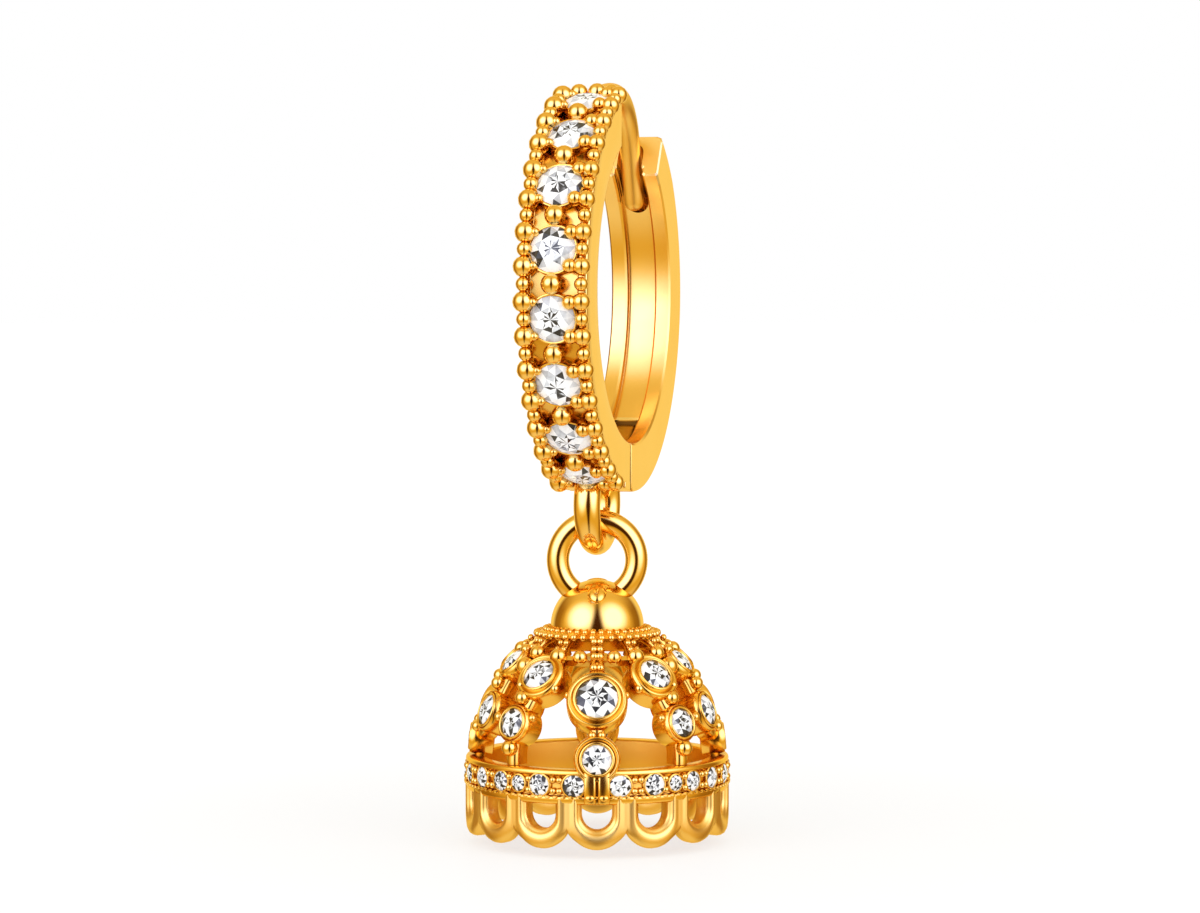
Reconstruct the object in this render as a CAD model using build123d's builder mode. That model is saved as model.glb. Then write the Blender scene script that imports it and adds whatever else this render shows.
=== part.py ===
# A jhumka earring: a hinged hoop with a curved ear post, and an openwork bell that hangs from it.
# Millimetres, +Z up, the paved front of the hoop towards -Y.
# The origin is the middle of the post's bare span, where the ear lobe sits.

import os
from math import asin, cos, degrees, radians, sin

from build123d import *

os.makedirs("parts", exist_ok=True)

# Hoop
hoop_outer = 8.95
hoop_inner = 6.8
hoop_y = -2.2  # hoop centre
hoop_z = -8.9
front_width = 3.0
back_width = 2.8
front_end = -2.7  # top end of the front half, along Y from the hoop centre
seam = -0.95  # bottom end of the front half, along Y from the hoop centre
seam_gap = 0.05
back_end_angle = 49.5  # top end of the back half, above the horizontal

# Hinge
pin_radius = 0.3
pin_clearance = 0.04
pin_length = 2.3
pin_y = seam + 0.6  # from the hoop centre
pin_z = -8.35
cheek_radius = 0.6
tongue_width = 1.4
tongue_end = 1.3
tongue_inner = 7.05
tongue_slot = 1.56
tongue_slot_end = 2.3

# Ear post
post_radius = 0.42
post_start = (-5.1, -0.95)  # Y, Z
post_bend = (2.75, -2.2)
post_tip = (3.5, -4.75)
post_slope = 5.7  # degrees down towards the back, at the origin

# Back half's channel and the slot that takes the post
channel_width = 1.35
channel_depth = 0.45
notch_width = 1.36
notch_floor = 8.62
notch_bottom = 3.4  # above the hoop centre

# Stones of the hoop
hoop_stone_radius = 1.0
hoop_stone_count = 8
hoop_stone_first = 68.9  # degrees above the horizontal, at the front
hoop_stone_pitch = 19.15
stone_gap = 0.03
stone_proud = 0.12  # girdle above the metal
stone_seat = 0.55  # depth of a seat under the metal, in stone radii
stone_pavilion = 0.55
stone_crown = 0.3
stone_clear = 0.45  # clear height over a hoop stone's seat, where the link comes close

# Hanging link, soldered under the hoop, and the ring of the bell
link_radius = 1.8
link_wire = 0.46
link_y = hoop_y - 1.25
link_z = hoop_z - 9.45
ring_radius = 1.75
ring_wire = 0.5
ring_gap = 0.08
bell_turn = 14.5  # the bell hangs turned by this about its own axis

# Bell
drop_y = link_y
ring_z = link_z - link_radius + link_wire + ring_gap + ring_wire - ring_radius
cap_radius = 2.06
cap_z = hoop_z - 14.9
cap_foot = 0.45  # depth of the cap's foot in the dome
cap_foot_radius = 1.96
dome_arc_radius = 5.79
dome_arc_offset = -0.29  # the arc's centre, outwards from the axis
dome_arc_z = hoop_z - 20.48
dome_wall = 0.85
band_top = hoop_z - 20.6
band_bottom = hoop_z - 22.1
band_outer = 5.85
band_inner = 5.0
loop_count = 14
loop_radius = 1.3
loop_hole_radius = 0.72
loop_drop = 0.62  # loop centre below the band
loop_hole_drop = 0.42
loop_inner = 5.02
loop_depth = 0.8
bezel_proud = 0.28
bezel_depth = 0.8
window_corner = 0.2
band_lip = 0.3
band_groove = 0.12

# Stones of the dome: azimuth from the front, height on the dome arc in degrees, radius, wall of the bezel
dome_stones = [
    # azimuth, rise, radius, wall
    (0, 29.1, 0.91, 0.45),
    (0, 3.5, 0.64, 0.3),
    (36, 39.5, 0.72, 0.48),
    (43, 16.9, 0.62, 0.3),
    (72, 44.8, 0.62, 0.3),
    (67, 20.5, 0.68, 0.3),
    (90, 6.5, 0.5, 0.3),
    (108, 44.8, 0.62, 0.3),
    (113, 20.5, 0.68, 0.3),
    (144, 39.5, 0.72, 0.48),
    (137, 16.9, 0.62, 0.3),
    (180, 29.1, 0.91, 0.45),
    (180, 3.5, 0.64, 0.3),
]

# Openings of the dome: corners as azimuth and height on the dome arc in degrees
dome_windows = [
    [(5, 55), (31, 55), (33, 38), (39.5, 15), (40, 4), (5, 4)],
    [(41, 55), (67, 55), (64, 36), (62, 22), (84, 4), (48, 4), (46.5, 14)],
    [(77, 52), (103, 52), (107, 30), (90, 12), (73, 30)],
]


def along_dome(rise, lift=0.0):
    """Radius and height of the dome's outer face at a rise, lifted along its normal."""
    reach = dome_arc_radius + lift
    return dome_arc_offset + reach * cos(radians(rise)), dome_arc_z + reach * sin(radians(rise))


def side_plane(azimuth):
    """Upright plane on the bell's axis, facing outwards at an azimuth."""
    turn = radians(azimuth + bell_turn)
    return Plane(
        origin=(0, drop_y, 0),
        x_dir=(cos(turn), sin(turn), 0),
        z_dir=(sin(turn), -cos(turn), 0),
    )


def dome_plane(azimuth, rise, lift=0.0):
    """Plane that lies on the dome's outer face, facing outwards."""
    turn, climb = radians(azimuth + bell_turn), radians(rise)
    radius, height = along_dome(rise, lift)
    return Plane(
        origin=(radius * sin(turn), drop_y - radius * cos(turn), height),
        x_dir=(cos(turn), sin(turn), 0),
        z_dir=(cos(climb) * sin(turn), -cos(climb) * cos(turn), sin(climb)),
    )


def hoop_plane(angle, radius):
    """Plane on the front of the hoop, facing outwards, at an angle above the horizontal."""
    climb = radians(angle)
    return Plane(
        origin=(0, hoop_y - radius * cos(climb), hoop_z + radius * sin(climb)),
        x_dir=(1, 0, 0),
        z_dir=(0, -cos(climb), sin(climb)),
    )


def write(piece, name):
    piece.part.label = name
    export_step(piece.part, f"parts/{name}.step")


def round_stone(plane, radius, name):
    """A cut stone with its girdle on the plane: a crown up to its table, and a pavilion below."""
    with BuildPart() as stone:
        for depth, end_radius in ((stone_crown, 0.6), (-stone_pavilion, 0.15)):
            with BuildSketch(plane):
                Circle(radius)
            with BuildSketch(plane.offset(depth * radius)):
                Circle(end_radius * radius)
            loft()
    write(stone, name)


def all_round(windows):
    """One quarter's openings, turned over to the back where they don't reach it, then to the other side."""
    quarter = [corners for corners in windows if max(azimuth for azimuth, rise in corners) < 90]
    back = [[(180 - azimuth, rise) for azimuth, rise in corners] for corners in quarter]
    one_side = windows + back
    return one_side + [[(-azimuth, rise) for azimuth, rise in corners] for corners in one_side]


hoop_centre = (hoop_y, hoop_z)
hoop_angles = [hoop_stone_first - hoop_stone_pitch * i for i in range(hoop_stone_count)]
bell_stones = dome_stones + [(-row[0], *row[1:]) for row in dome_stones if 0 < row[0] < 180]
all_windows = all_round(dome_windows)
reach = 20  # longer than anything it cuts

# Front half of the hoop, with its post, hinge tongue and hanging link
with BuildPart() as hoop_front:
    with BuildSketch(Plane.YZ):
        with Locations(hoop_centre):
            Circle(hoop_outer)
            Circle(hoop_inner, mode=Mode.SUBTRACT)
        with Locations((hoop_y + front_end, hoop_z)):
            Rectangle(reach, reach, align=(Align.MIN, Align.MIN), mode=Mode.SUBTRACT)
        with Locations((hoop_y + seam - seam_gap / 2, hoop_z)):
            Rectangle(reach, reach, align=(Align.MIN, Align.MAX), mode=Mode.SUBTRACT)
    extrude(amount=front_width / 2, both=True)
    with BuildSketch(Plane.YZ):
        with Locations(hoop_centre):
            Circle(hoop_outer)
            Circle(tongue_inner, mode=Mode.SUBTRACT)
        with Locations((hoop_y + seam - 1, hoop_z)):
            Rectangle(tongue_end - seam + 1, reach, align=(Align.MIN, Align.MAX), mode=Mode.INTERSECT)
    extrude(amount=tongue_width / 2, both=True)
    with Locations((0, link_y, link_z)):
        Torus(link_radius, link_wire, rotation=(0, 90, 0))
    with Locations((0, hoop_y + pin_y, hoop_z + pin_z)):
        Cylinder(pin_radius + pin_clearance, 2 * pin_length, rotation=(0, 90, 0), mode=Mode.SUBTRACT)
    with BuildLine(Plane.YZ) as post_line:
        slope = (cos(radians(post_slope)), -sin(radians(post_slope)))
        TangentArc((0, 0), post_start, tangent=(-slope[0], -slope[1]))
        TangentArc((0, 0), post_bend, tangent=slope)
        Line(post_bend, post_tip)
    post_path = post_line.wire()
    with BuildSketch(Plane(origin=post_path @ 0, z_dir=post_path % 0)):
        Circle(post_radius)
    sweep(path=post_path)
    with Locations((0, *post_tip)):
        Sphere(post_radius)
    for angle in hoop_angles:
        with BuildSketch(hoop_plane(angle, hoop_outer + stone_clear)):
            Circle(hoop_stone_radius + stone_gap)
        extrude(amount=-(stone_clear + stone_seat * hoop_stone_radius), mode=Mode.SUBTRACT)
write(hoop_front, "hoop_front")

# What the post needs inside the back half: a slot with a round bottom, open to the hollow and at the top
with BuildPart() as notch:
    with BuildSketch(Plane.XZ.offset(-hoop_y)):
        with Locations((0, hoop_z + notch_bottom + notch_width / 2)):
            Circle(notch_width / 2)
            Rectangle(notch_width, reach, align=(Align.CENTER, Align.MIN))
    extrude(amount=-reach)
    with Locations((0, hoop_y, hoop_z)):
        Cylinder(notch_floor, reach, rotation=(0, 90, 0), mode=Mode.INTERSECT)

# Back half of the hoop
with BuildPart() as hoop_back:
    with BuildSketch(Plane.YZ):
        with Locations(hoop_centre):
            Circle(hoop_outer)
            Circle(hoop_inner, mode=Mode.SUBTRACT)
            Rectangle(reach, reach, align=(Align.MAX, Align.MIN), mode=Mode.SUBTRACT)
            Rectangle(reach, reach, rotation=back_end_angle, align=(Align.MIN, Align.MIN), mode=Mode.SUBTRACT)
        with Locations((hoop_y + seam + seam_gap / 2, hoop_z)):
            Rectangle(reach, reach, align=(Align.MAX, Align.MAX), mode=Mode.SUBTRACT)
    extrude(amount=back_width / 2, both=True)
    with BuildSketch(Plane.YZ):
        with Locations((hoop_y + pin_y, hoop_z + pin_z)):
            Rectangle(1, 1, align=(Align.MAX, Align.MAX))
            Circle(cheek_radius, mode=Mode.SUBTRACT)
    extrude(amount=back_width, both=True, mode=Mode.SUBTRACT)
    with Locations((0, hoop_y, hoop_z)):
        Cylinder(hoop_inner + channel_depth, channel_width, rotation=(0, 90, 0), mode=Mode.SUBTRACT)
    with Locations((0, hoop_y + seam - 1, hoop_z)):
        Box(
            tongue_slot,
            tongue_slot_end - seam + 1,
            reach,
            align=(Align.CENTER, Align.MIN, Align.MAX),
            mode=Mode.SUBTRACT,
        )
    with Locations((0, hoop_y + pin_y, hoop_z + pin_z)):
        Cylinder(
            pin_radius + pin_clearance,
            pin_length + 2 * pin_clearance,
            rotation=(0, 90, 0),
            mode=Mode.SUBTRACT,
        )
    add(notch.part, mode=Mode.SUBTRACT)
write(hoop_back, "hoop_back")

with BuildPart() as hinge_pin:
    with Locations((0, hoop_y + pin_y, hoop_z + pin_z)):
        Cylinder(pin_radius, pin_length, rotation=(0, 90, 0))
write(hinge_pin, "hinge_pin")

for number, angle in enumerate(hoop_angles, 1):
    round_stone(hoop_plane(angle, hoop_outer + stone_proud), hoop_stone_radius, f"hoop_stone_{number}")

# Bell: dome shell, openings, band and scalloped loops, then the cap and ring on top
with BuildPart() as bell:
    top_rise = degrees(asin((cap_z - dome_arc_z) / dome_arc_radius))
    foot_rise = degrees(asin((band_top - dome_arc_z) / dome_arc_radius))
    with BuildSketch(Plane.XZ.offset(-drop_y)):
        with BuildLine():
            outer = ThreePointArc(*[along_dome(rise) for rise in (top_rise, 25, foot_rise)])
            inner = ThreePointArc(*[along_dome(rise, -dome_wall) for rise in (top_rise, 25, foot_rise)])
            Polyline(outer @ 0, (0, cap_z), (0, (inner @ 0).Y), inner @ 0)
            foot = band_top - band_lip
            Polyline(outer @ 1, ((outer @ 1).X, foot), ((inner @ 1).X, foot), inner @ 1)
        make_face()
    revolve(axis=Axis((0, drop_y, 0), (0, 0, 1)))
    for corners in all_windows:
        azimuths = [azimuth for azimuth, rise in corners]
        middle = (min(azimuths) + max(azimuths)) / 2
        outline = []
        for azimuth, rise in corners:
            radius, height = along_dome(rise)
            outline.append((radius * sin(radians(azimuth - middle)), height))
        with BuildSketch(side_plane(middle)) as window:
            with BuildLine():
                Polyline(*outline, close=True)
            make_face()
            fillet(window.vertices(), window_corner)
        extrude(amount=reach, mode=Mode.SUBTRACT)
    for azimuth, rise, radius, wall in bell_stones:
        with BuildSketch(dome_plane(azimuth, rise, bezel_proud)):
            Circle(radius + wall)
        extrude(amount=-(bezel_proud + bezel_depth))
    with BuildSketch(Plane.XZ.offset(-drop_y)):
        with BuildLine():
            Polyline(
                (band_inner, band_top),
                (band_outer, band_top),
                (band_outer, band_top - band_lip),
                (band_outer - band_groove, band_top - band_lip),
                (band_outer - band_groove, band_bottom + band_lip),
                (band_outer, band_bottom + band_lip),
                (band_outer, band_bottom),
                (band_inner, band_bottom),
                close=True,
            )
        make_face()
    revolve(axis=Axis((0, drop_y, 0), (0, 0, 1)))
    for number in range(loop_count):
        with BuildSketch(side_plane(360 / loop_count * number).offset(loop_inner)):
            with Locations((0, band_bottom - loop_drop)):
                Circle(loop_radius)
                Rectangle(2 * loop_radius, loop_drop + band_lip, align=(Align.CENTER, Align.MIN))
            with Locations((0, band_bottom - loop_hole_drop)):
                Circle(loop_hole_radius, mode=Mode.SUBTRACT)
                Rectangle(
                    2 * loop_hole_radius,
                    loop_hole_drop,
                    align=(Align.CENTER, Align.MIN),
                    mode=Mode.SUBTRACT,
                )
        extrude(amount=loop_depth)
    for azimuth, rise, radius, wall in bell_stones:
        with BuildSketch(dome_plane(azimuth, rise, bezel_proud)):
            Circle(radius + stone_gap)
        extrude(amount=-(bezel_proud + stone_seat * radius), mode=Mode.SUBTRACT)
    with Locations((0, drop_y, cap_z)):
        Sphere(cap_radius, arc_size1=0)
        Cylinder(cap_foot_radius, cap_foot, align=(Align.CENTER, Align.CENTER, Align.MAX))
    with Locations(side_plane(0)):
        with Locations((0, ring_z, 0)):
            Torus(ring_radius, ring_wire)
write(bell, "bell")

for number, (azimuth, rise, radius, wall) in enumerate(bell_stones, 1):
    round_stone(dome_plane(azimuth, rise, stone_proud), radius, f"bell_stone_{number:02d}")
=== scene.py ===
import random
from math import acos, asin, atan2, cos, hypot, pi, radians, sin

import bmesh
import bpy
from mathutils import Matrix, Vector


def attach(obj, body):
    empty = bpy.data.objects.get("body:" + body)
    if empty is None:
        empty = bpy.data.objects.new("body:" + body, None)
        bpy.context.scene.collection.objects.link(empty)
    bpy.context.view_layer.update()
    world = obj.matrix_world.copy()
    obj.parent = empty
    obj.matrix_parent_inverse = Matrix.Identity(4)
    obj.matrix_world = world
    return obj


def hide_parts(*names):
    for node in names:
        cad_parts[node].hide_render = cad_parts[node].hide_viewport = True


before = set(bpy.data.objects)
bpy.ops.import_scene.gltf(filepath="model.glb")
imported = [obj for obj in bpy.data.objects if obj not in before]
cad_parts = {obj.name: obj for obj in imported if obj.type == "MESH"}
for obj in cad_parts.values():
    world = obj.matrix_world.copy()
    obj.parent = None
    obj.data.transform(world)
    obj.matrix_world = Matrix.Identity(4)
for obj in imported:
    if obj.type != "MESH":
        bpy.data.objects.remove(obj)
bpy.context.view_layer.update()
print("stage: frame loaded")

# Sizes are in millimetres, turns in degrees. The hoop stands in the YZ plane, paved side towards -Y.
hoop = {"outer": 8.95, "inner": 6.8, "y": -2.2, "z": -8.9}
bell = {"y": -3.45, "turn": 14.5, "arc": 5.79, "offset": -0.29, "arcZ": -29.38}


def placed(name, data):  # a new object in the scene
    thing = bpy.data.objects.new(name, data)
    bpy.context.scene.collection.objects.link(thing)
    return thing


def circle(count):  # cosine and sine of each step once around
    return [(cos(2 * pi * i / count), sin(2 * pi * i / count)) for i in range(count)]


class Shape:
    def __init__(self):
        self.points, self.faces = [], []

    def grid(self, rows, wrapRows=False, caps=False):  # every row is a closed outline
        start, width = len(self.points), len(rows[0])
        for row in rows:
            self.points += [tuple(p) for p in row]
        for i in range(len(rows) if wrapRows else len(rows) - 1):
            a, b = start + i * width, start + (i + 1) % len(rows) * width
            for j in range(width):
                k = (j + 1) % width
                self.faces.append([a + j, a + k, b + k, b + j])
        if caps:
            self.faces.append([start + j for j in range(width)][::-1])
            self.faces.append([start + (len(rows) - 1) * width + j for j in range(width)])

    def add(self, points, faces):
        start = len(self.points)
        self.points += [tuple(p) for p in points]
        self.faces += [[start + i for i in face] for face in faces]

    def make(self, name, material=None, sharp=35, flat=False):
        mesh = bpy.data.meshes.new(name)
        mesh.from_pydata([[v * 0.001 for v in p] for p in self.points], [], self.faces)
        work = bmesh.new()
        work.from_mesh(mesh)
        bmesh.ops.remove_doubles(work, verts=work.verts, dist=2e-7)
        bmesh.ops.recalc_face_normals(work, faces=work.faces)
        work.to_mesh(mesh)
        work.free()
        if flat:
            mesh.shade_flat()
        else:
            mesh.shade_smooth()
            mesh.set_sharp_from_angle(angle=radians(sharp))
        if material:
            mesh.materials.append(material)
        return placed(name, mesh)


def soften(corners, steps=4):  # rounds an outline; each corner is x, y, radius
    out = []
    for i, (x, y, radius) in enumerate(corners):
        here = Vector((x, y))
        before, after = Vector(corners[i - 1][:2]), Vector(corners[(i + 1) % len(corners)][:2])
        if radius <= 0:
            out.append((x, y))
            continue
        a = here + (before - here).normalized() * min(radius, (before - here).length * 0.48)
        b = here + (after - here).normalized() * min(radius, (after - here).length * 0.48)
        for s in range(steps + 1):
            t = s / steps
            # a curve a little fuller than a plain quadratic, close to a quarter circle
            w = 0.72
            weight = 2 * w * t * (1 - t)
            p = (a * (1 - t) ** 2 + here * weight + b * t ** 2) / ((1 - t) ** 2 + weight + t ** 2)
            out.append((p.x, p.y))
    return out


def onHoop(x, radius, turn):  # turn is in radians above the horizontal, from the paved side
    return (x, hoop["y"] - radius * cos(turn), hoop["z"] + radius * sin(turn))


def outward(azimuth):
    a = radians(azimuth + bell["turn"])
    return Vector((sin(a), -cos(a), 0))


def sideways(azimuth):
    a = radians(azimuth + bell["turn"])
    return Vector((cos(a), sin(a), 0))


def domeFrame(azimuth, rise, lift=0.0):  # a frame on the dome, its Z outwards
    climb, reach = radians(rise), bell["arc"] + lift
    x = sideways(azimuth)
    z = outward(azimuth) * cos(climb) + Vector((0, 0, sin(climb)))
    foot = Vector((0, bell["y"], bell["arcZ"] + reach * sin(climb)))
    point = outward(azimuth) * (bell["offset"] + reach * cos(climb)) + foot
    turned = Matrix((x, z.cross(x), z)).transposed().to_4x4()
    return Matrix.Translation(point) @ turned


def hoopFrame(x, turn, radius):  # a frame on the hoop's outside, its Z outwards
    z = Vector((0, -cos(radians(turn)), sin(radians(turn))))
    turned = Matrix((Vector((1, 0, 0)), z.cross(Vector((1, 0, 0))), z)).transposed().to_4x4()
    return Matrix.Translation(onHoop(x, radius, radians(turn))) @ turned


axisFrame = Matrix.Translation((0, bell["y"], 0)) @ Matrix.Rotation(radians(bell["turn"]), 4, "Z")


def turned(shape, place, profile, steps):  # a closed profile of radius, height, turned about the frame's Z
    rows = [[place @ Vector((r * c, r * s, h)) for r, h in profile] for c, s in circle(steps)]
    shape.grid(rows, wrapRows=True)


def ball(shape, place, sizes, columns=20, rows=12):  # an ellipsoid with closed poles
    points, faces = [place @ Vector((0, 0, sizes[2]))], []
    for i in range(1, rows):
        a = pi * i / rows
        points += [place @ Vector((sizes[0] * sin(a) * c, sizes[1] * sin(a) * s, sizes[2] * cos(a)))
                   for c, s in circle(columns)]
    points.append(place @ Vector((0, 0, -sizes[2])))
    for j in range(columns):
        k = (j + 1) % columns
        faces.append([0, 1 + j, 1 + k])
        for i in range(rows - 2):
            a, b = 1 + i * columns, 1 + (i + 1) * columns
            faces.append([a + j, b + j, b + k, a + k])
        last = 1 + (rows - 2) * columns
        faces.append([last + k, last + j, len(points) - 1])
    shape.add(points, faces)


def tube(shape, path, radius, sides=20):  # a round wire in the YZ plane, path given as y, z
    rows, count = [], len(path)
    for i, (y, z) in enumerate(path):
        ay, az = path[max(i - 1, 0)]
        by, bz = path[min(i + 1, count - 1)]
        length = hypot(by - ay, bz - az)
        ny, nz = -(bz - az) / length, (by - ay) / length
        rows.append([(radius * c, y + ny * radius * s, z + nz * radius * s) for c, s in circle(sides)])
    shape.grid(rows)
    # half-ball ends
    for (y, z), (ay, az), row in ((path[0], path[1], rows[0]), (path[-1], path[-2], rows[-1])):
        length = hypot(y - ay, z - az)
        ty, tz = (y - ay) / length, (z - az) / length
        rings = []
        for s in range(6):
            a = pi / 2 * s / 6
            rings.append([(p[0] * cos(a), y + (p[1] - y) * cos(a) + ty * radius * sin(a),
                           z + (p[2] - z) * cos(a) + tz * radius * sin(a)) for p in row])
        start = len(shape.points)
        shape.grid(rings)
        shape.points.append((0, y + ty * radius, z + tz * radius))
        last = start + 5 * sides
        shape.faces += [[last + j, last + (j + 1) % sides, len(shape.points) - 1] for j in range(sides)]


def arc(start, tangent, end, steps):  # points of the circle that leaves start along tangent and meets end
    sx, sy = start
    dx, dy = end[0] - sx, end[1] - sy
    nx, ny = -tangent[1], tangent[0]
    size = (dx * dx + dy * dy) / (2 * (dx * nx + dy * ny))
    cx, cy = sx + nx * size, sy + ny * size
    a0, a1 = atan2(sy - cy, sx - cx), atan2(end[1] - cy, end[0] - cx)
    sweep = (a1 - a0 + pi) % (2 * pi) - pi
    turns = [a0 + sweep * i / steps for i in range(steps + 1)]
    return [(cx + abs(size) * cos(a), cy + abs(size) * sin(a)) for a in turns]


class Wire:  # one socket of a node tree; sums of wires add Math nodes
    def __init__(self, tree, socket=None):
        self.tree, self.socket = tree, socket

    def add(self, kind, settings=None, sockets=None, output=0):
        node = self.tree.nodes.new(kind)
        for key, value in (settings or {}).items():
            if key == "stops":
                ramp = node.color_ramp.elements
                while len(ramp) < len(value):
                    ramp.new(0.5)
                for stop, (place, colour) in zip(ramp, value):
                    stop.position, stop.color = place, (*colour, 1) if len(colour) == 3 else colour
            else:
                setattr(node, key, value)
        for key, value in (sockets or {}).items():
            target = node.inputs[key]
            if isinstance(value, Wire):
                self.tree.links.new(value.socket, target)
            else:
                target.default_value = value
        return Wire(self.tree, node.outputs[output] if node.outputs else None)

    def maths(self, operation, other, swapped=False):
        first, second = (other, self) if swapped else (self, other)
        return self.add("ShaderNodeMath", {"operation": operation}, {0: first, 1: second})

    def __add__(self, other):
        return self.maths("ADD", other)

    def __sub__(self, other):
        return self.maths("SUBTRACT", other)

    def __rsub__(self, other):
        return self.maths("SUBTRACT", other, True)

    def __mul__(self, other):
        return self.maths("MULTIPLY", other)

    def __truediv__(self, other):
        return self.maths("DIVIDE", other)

    __radd__, __rmul__ = __add__, __mul__

    def mixed(self, factor, first, second):  # between two colours
        return self.add("ShaderNodeMix", {"data_type": "RGBA"}, {0: factor, 6: first, 7: second}, 2)

    def eased(self, value, low, high, first, last):  # low to high becomes first to last, smoothly
        return self.add("ShaderNodeMapRange", {"interpolation_type": "SMOOTHSTEP"},
                        {0: value, 1: low, 2: high, 3: first, 4: last})

    def noise(self, scale, detail, roughness):  # on the piece's own millimetres
        place = self.add("ShaderNodeTexCoord", output="Object")
        inMillimetres = self.add("ShaderNodeMapping", {}, {"Vector": place, "Scale": (1000, 1000, 1000)})
        return self.add("ShaderNodeTexNoise", {},
                        {"Vector": inMillimetres, "Scale": scale, "Detail": detail, "Roughness": roughness}, "Fac")


def emptied(owner):  # a wire on the owner's cleared nodes
    owner.use_nodes = True
    owner.node_tree.nodes.clear()
    return Wire(owner.node_tree)


goldParts = ("tone", "deep", "edge", "wearAndShade", "recess", "roughness", "uneven", "dents", "grain")
# tone, deep patches, glancing edge and the painted shade of recesses are colours; recess is how far that painted
# shade takes over
goldLooks = {
    "polishedGold": ((1.0, 0.71, 0.26), (0.98, 0.63, 0.18), (1.0, 0.82, 0.45), (0.75, 0.4, 0.06),
        0.8, 0.09, 0.05, 0.04, 0.0),
    "wallGold": ((1.0, 0.72, 0.29), (0.98, 0.67, 0.24), (1.0, 0.8, 0.42), (0.7, 0.38, 0.05),
        0.8, 0.2, 0.05, 0.03, 0.1),
    "sideGold": ((1.0, 0.73, 0.32), (0.98, 0.68, 0.26), (1.0, 0.82, 0.45), (0.75, 0.42, 0.06),
        0.7, 0.1, 0.03, 0.02, 0.05),
    "loopGold": ((1.0, 0.71, 0.24), (1.0, 0.66, 0.19), (1.0, 0.8, 0.4), (0.72, 0.37, 0.04),
        0.8, 0.36, 0.05, 0.03, 0.05),
    # a rougher finish for inner walls, its darker tone painted shade
    "shadedInsideGold": ((0.95, 0.6, 0.11), (0.9, 0.53, 0.08), (1.0, 0.72, 0.26), (0.6, 0.3, 0.03),
        0.6, 0.38, 0.05, 0.03, 0.1),
    # a paler gold: painted highlight for bright edge lines
    "highlightGold": ((1.0, 0.86, 0.58), (1.0, 0.82, 0.5), (1.0, 0.9, 0.6), (1.0, 0.8, 0.45),
        0.0, 0.2, 0.03, 0.02, 0.0),
    # painted shade: a darker gold for the knuckle that lies in the pocket
    "shadedHingeGold": ((0.75, 0.46, 0.08), (0.62, 0.36, 0.06), (0.7, 0.45, 0.12), (0.16, 0.07, 0.008),
        0.9, 0.34, 0.05, 0.04, 0.1),
    "seamShade": ((0.22, 0.11, 0.015), (0.16, 0.07, 0.01), (0.2, 0.1, 0.02), (0.04, 0.015, 0.002),
        0.5, 0.5, 0.05, 0.03, 0.1),
    "castGold": ((1.0, 0.68, 0.2), (0.95, 0.57, 0.11), (1.0, 0.78, 0.36), (0.55, 0.27, 0.035),
        0.9, 0.17, 0.06, 0.05, 0.08),
}


def goldFinish(name, look):
    material = bpy.data.materials.new(name)
    wire = emptied(material)
    slow, waves, fine = wire.noise(0.55, 3.0, 0.5), wire.noise(1.7, 2.0, 0.45), wire.noise(14.0, 2.0, 0.6)
    colour = wire.mixed(slow * 1.2 - 0.25, (*look["tone"], 1), (*look["deep"], 1))
    # painted shade: where ambient occlusion finds a hollow, the colour turns towards a darker brown tone
    openness = wire.add("ShaderNodeAmbientOcclusion", {"samples": 6, "only_local": True},
                        {"Distance": 0.0011}, "AO")
    colour = wire.mixed(wire.eased(openness, 0.1, 0.85, look["recess"], 0.0), colour, (*look["wearAndShade"], 1))
    roughness = (slow - 0.5) * look["uneven"] + (fine - 0.5) * look["uneven"] + look["roughness"]
    height = waves * look["dents"] + fine * (look["grain"] * 0.12)
    bump = wire.add("ShaderNodeBump", {}, {"Height": height, "Strength": 0.5, "Distance": 0.00006}, "Normal")
    gold = wire.add("ShaderNodeBsdfPrincipled", {}, {
        "Base Color": colour, "Metallic": 1.0, "Roughness": roughness,
        "Specular Tint": (*look["edge"], 1), "Normal": bump})
    wire.add("ShaderNodeOutputMaterial", {}, {"Surface": gold})
    return material


# painted reflections: greys from black to white that the stone facets take in place of real refraction
facetTones = [(0.0, (0.012, 0.013, 0.018)), (0.14, (0.05, 0.053, 0.06)), (0.2, (0.4, 0.41, 0.44)),
              (0.42, (0.72, 0.74, 0.77)), (0.55, (0.95, 0.96, 0.97)), (1.0, (1.0, 1.0, 1.0))]


def stoneFinish(name):
    material = bpy.data.materials.new(name)
    wire = emptied(material)
    smear = wire.noise(5.0, 3.0, 0.5)
    tone = wire.add("ShaderNodeAttribute", {"attribute_name": "facetShade"}, {}, "Fac")
    colour = wire.add("ShaderNodeValToRGB", {"stops": facetTones}, {0: tone + smear * 0.3 - 0.15})
    stone = wire.add("ShaderNodeBsdfPrincipled", {}, {"Base Color": colour, "Roughness": smear * 0.06, "IOR": 1.6})
    wire.add("ShaderNodeOutputMaterial", {}, {"Surface": stone})
    return material


finishes = {name: goldFinish(name, dict(zip(goldParts, row))) for name, row in goldLooks.items()}
finishes["cutStone"] = stoneFinish("cutStone")
polished, wall, side, cast = (finishes[n] for n in ("polishedGold", "wallGold", "sideGold", "castGold"))
loopMetal, inside, edge, shade = (finishes[n] for n in ("loopGold", "shadedInsideGold", "highlightGold", "seamShade"))
shadedHingeMetal, stoneFacetPaint = finishes["shadedHingeGold"], finishes["cutStone"]
print("stage: finishes made")


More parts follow.
